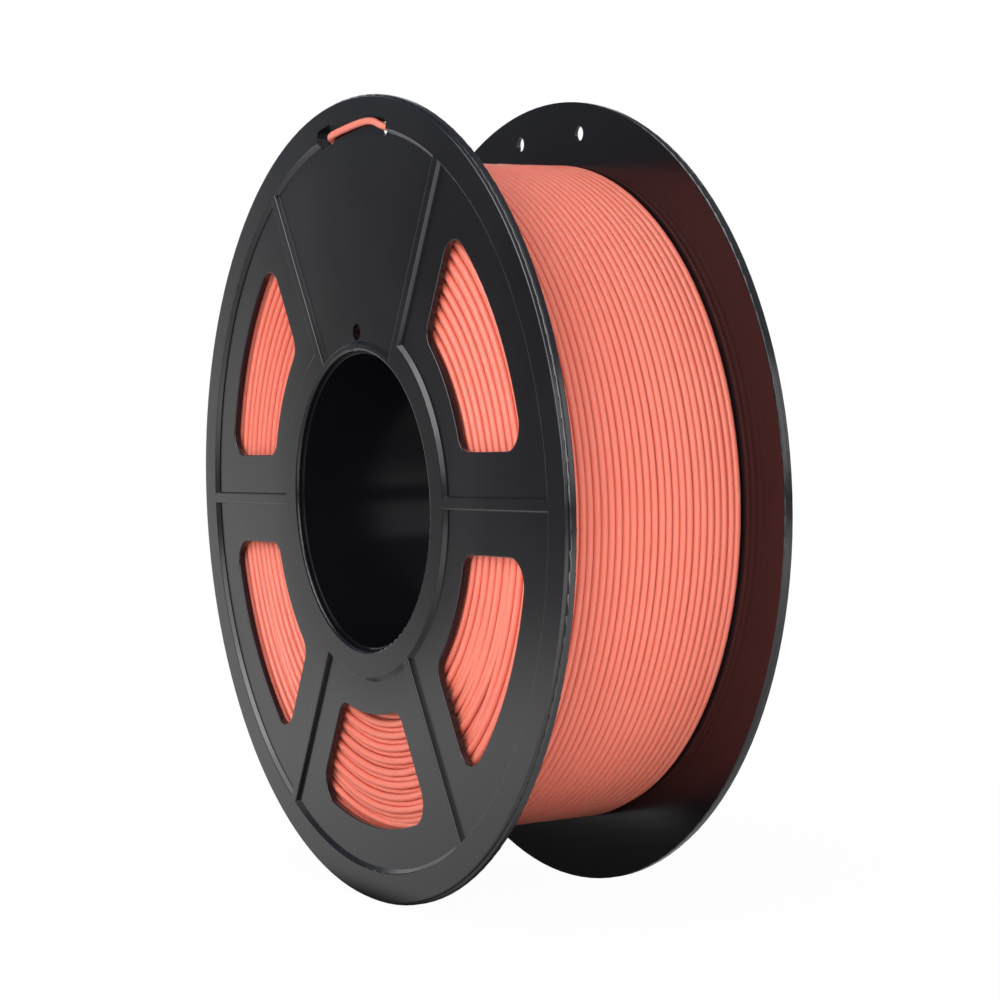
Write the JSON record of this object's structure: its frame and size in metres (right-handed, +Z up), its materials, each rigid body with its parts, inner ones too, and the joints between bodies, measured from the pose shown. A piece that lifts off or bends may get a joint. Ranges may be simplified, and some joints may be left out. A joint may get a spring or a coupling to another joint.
{
  "type": "filament spool",
  "caption": "Open spool with two ribbed, windowed flanges on a tubular hub, wound full with filament whose outer end is parked in a pocket in the rim.",
  "frame": {"origin": "centre of the bore, half way between the two flanges", "axes": "+Y along the bore from the front flange to the rear flange, +Z up through the plain field and the parking pocket"},
  "size_m": [0.2, 0.0596, 0.2],
  "materials": {
    "spool_plastic": "satin black moulded plastic",
    "filament": "glossy coral plastic filament"
  },
  "bodies": {
    "root": {"front_flange": "spool_plastic", "rear_flange": "spool_plastic", "hub_barrel": "spool_plastic", "winding_core": "filament", "winding_outer_layer": "filament", "parked_filament_end": "filament"}
  },
  "joints": []
}
